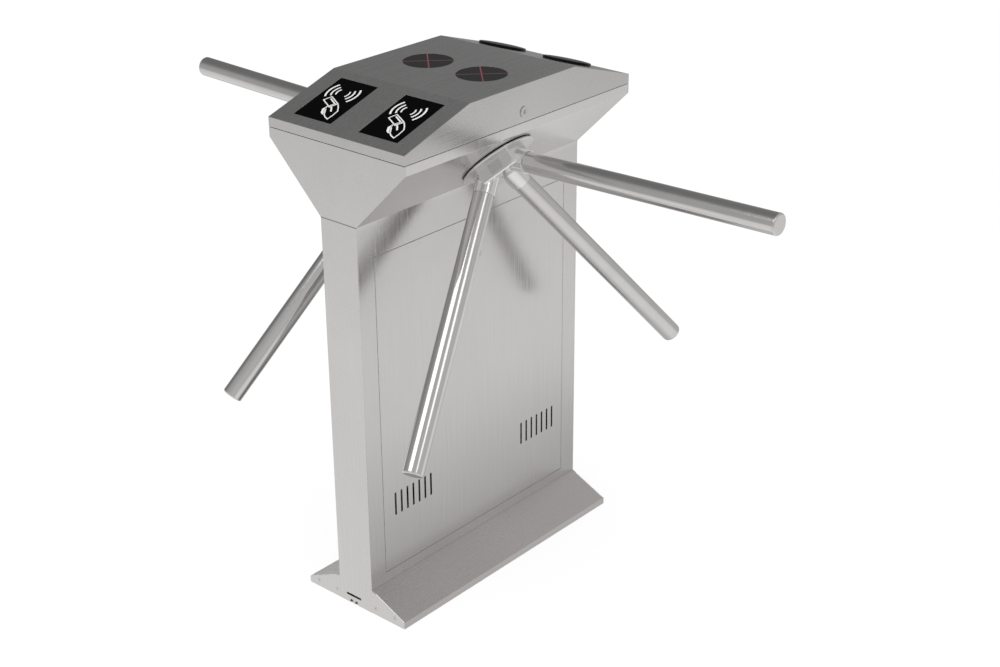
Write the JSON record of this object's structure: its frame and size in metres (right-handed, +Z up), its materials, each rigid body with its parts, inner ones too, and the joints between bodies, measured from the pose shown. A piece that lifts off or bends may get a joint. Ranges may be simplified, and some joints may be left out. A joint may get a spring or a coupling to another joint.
{
  "type": "tripod turnstile",
  "caption": "Double-sided tripod turnstile: a slim steel cabinet with a rotating three-armed barrier on each side, card readers and lamps in a hinged lid, and service doors.",
  "frame": {"origin": "on the floor, under the middle of the cabinet", "axes": "+X across the cabinet towards the side of the lid lock, the way the level arm of the right-hand tripod points; +Y along the cabinet, away from the card readers; +Z up"},
  "size_m": [1.373, 0.7734, 0.98],
  "materials": {
    "shell_steel": "brushed stainless sheet, satin",
    "lid_steel": "brushed stainless sheet, satin",
    "skirt_steel": "brushed stainless sheet, satin",
    "base_steel": "mill finish stainless plate",
    "screw_steel": "plain stainless",
    "inner_steel": "zinc coated, dull",
    "control_grey": "light grey paint, matte",
    "supply_metal": "perforated aluminium case",
    "terminal_plastic": "grey moulded plastic",
    "seal_rubber": "foamed black rubber",
    "hinge_steel": "plain stainless",
    "cast_housing": "cast and painted dark grey",
    "bearing_steel": "ground and polished",
    "coil_plastic": "wound coil with a taped wrap",
    "sensor_plastic": "black moulded plastic",
    "module_plastic": "black moulded plastic",
    "reader_black": "polished black window",
    "top_lens_dark": "smoked lens, flush",
    "rear_lens_dark": "smoked lens, domed",
    "lock_steel": "polished",
    "lock_brass": "plated brass",
    "hub_chrome": "cast and polished bright",
    "flange_steel": "turned, satin",
    "arm_chrome": "polished stainless tube",
    "tip_steel": "turned, satin",
    "spindle_steel": "ground bar",
    "disc_steel": "zinc coated, yellow passivated",
    "pawl_steel": "dark zinc coating"
  },
  "bodies": {
    "cabinet": {"base_plate": "base_steel", "right_side_panel": "shell_steel", "left_side_panel": "shell_steel", "front_end_panel": "shell_steel", "rear_end_panel": "shell_steel", "right_skirt": "skirt_steel", "left_skirt": "skirt_steel", "skirt_end_caps": "skirt_steel", "skirt_screws": "screw_steel", "equipment_plate": "inner_steel", "control_box": "control_grey", "power_supply": "supply_metal", "terminal_strip": "terminal_plastic", "top_frame": "inner_steel", "lid_gasket": "seal_rubber", "lid_hinge_leaves": "hinge_steel", "right_bearing_housing": "cast_housing", "left_bearing_housing": "cast_housing", "housing_fixings": "screw_steel", "spindle_bearings": "bearing_steel", "solenoids": "coil_plastic", "position_sensors": "sensor_plastic", "pawl_pivots": "inner_steel"},
    "right_tripod": {"right_hub": "hub_chrome", "right_hub_flange": "flange_steel", "right_arm_level": "arm_chrome", "right_arm_front": "arm_chrome", "right_arm_rear": "arm_chrome", "right_arm_tips": "tip_steel", "right_spindle": "spindle_steel", "right_locking_disc": "disc_steel", "right_spindle_nuts": "screw_steel"},
    "left_tripod": {"left_hub": "hub_chrome", "left_hub_flange": "flange_steel", "left_arm_level": "arm_chrome", "left_arm_front": "arm_chrome", "left_arm_rear": "arm_chrome", "left_arm_tips": "tip_steel", "left_spindle": "spindle_steel", "left_locking_disc": "disc_steel", "left_spindle_nuts": "screw_steel"},
    "right_pawl": {"right_pawl": "pawl_steel"},
    "left_pawl": {"left_pawl": "pawl_steel"},
    "right_plunger": {"right_plunger": "spindle_steel"},
    "left_plunger": {"left_plunger": "spindle_steel"},
    "lid": {"lid": "lid_steel", "lid_hinge_flaps": "hinge_steel", "reader_windows": "reader_black", "reader_modules": "module_plastic", "top_lenses": "top_lens_dark", "rear_lenses": "rear_lens_dark", "lamp_housings": "module_plastic", "lid_lock_body": "lock_steel"},
    "lid_lock": {"lid_lock_plug": "lock_brass"},
    "right_door": {"right_door": "shell_steel", "right_door_lock_body": "lock_steel"},
    "left_door": {"left_door": "shell_steel", "left_door_lock_body": "lock_steel"},
    "right_door_lock": {"right_door_lock_plug": "lock_brass"},
    "left_door_lock": {"left_door_lock_plug": "lock_brass"}
  },
  "joints": [
    {"name": "right_spin", "type": "hinge", "parent": "cabinet", "child": "right_tripod", "pos_m": [0.09907, 0, 0.83157], "axis": [0.7071, 0, -0.7071], "continuous": true},
    {"name": "left_spin", "type": "hinge", "parent": "cabinet", "child": "left_tripod", "pos_m": [-0.09907, 0, 0.83157], "axis": [-0.7071, 0, -0.7071], "continuous": true},
    {"name": "right_pawl_pivot", "type": "hinge", "parent": "cabinet", "child": "right_pawl", "pos_m": [0.08634, 0.048, 0.90794], "axis": [0.7071, 0, -0.7071], "range_deg": [-12.8, 0], "stiffness_Nm_per_rad": 0.6, "springref_deg": 14.32},
    {"name": "right_plunger_slide", "type": "slide", "parent": "cabinet", "child": "right_plunger", "axis": [0, 1, 0], "range_m": [-0.0163, 0]},
    {"name": "left_pawl_pivot", "type": "hinge", "parent": "cabinet", "child": "left_pawl", "pos_m": [-0.08634, 0.048, 0.90794], "axis": [0.7071, 0, 0.7071], "range_deg": [-12.8, 0], "stiffness_Nm_per_rad": 0.6, "springref_deg": 14.32},
    {"name": "left_plunger_slide", "type": "slide", "parent": "cabinet", "child": "left_plunger", "axis": [0, 1, 0], "range_m": [-0.0163, 0]},
    {"name": "lid_hinge", "type": "hinge", "parent": "cabinet", "child": "lid", "pos_m": [-0.1669, 0, 0.912], "axis": [0, -1, 0], "range_deg": [0, 75]},
    {"name": "lid_lock_turn", "type": "hinge", "parent": "lid", "child": "lid_lock", "pos_m": [0.1615, 0, 0.931], "axis": [-1, 0, 0], "range_deg": [-90, 0]},
    {"name": "right_door_lift_off", "type": "slide", "parent": "cabinet", "child": "right_door", "axis": [1, 0, 0], "range_m": [0, 0.015]},
    {"name": "right_door_lock_turn", "type": "hinge", "parent": "right_door", "child": "right_door_lock", "pos_m": [0.0425, 0.012, 0.632], "axis": [1, 0, 0], "range_deg": [-90, 0]},
    {"name": "left_door_lift_off", "type": "slide", "parent": "cabinet", "child": "left_door", "axis": [-1, 0, 0], "range_m": [0, 0.015]},
    {"name": "left_door_lock_turn", "type": "hinge", "parent": "left_door", "child": "left_door_lock", "pos_m": [-0.0425, 0.012, 0.632], "axis": [1, 0, 0], "range_deg": [-90, 0]}
  ],
  "couplings": [
    {"joint": "right_plunger_slide", "follows": "right_pawl_pivot", "m_per_rad": 0.07171},
    {"joint": "left_plunger_slide", "follows": "left_pawl_pivot", "m_per_rad": 0.07171}
  ]
}
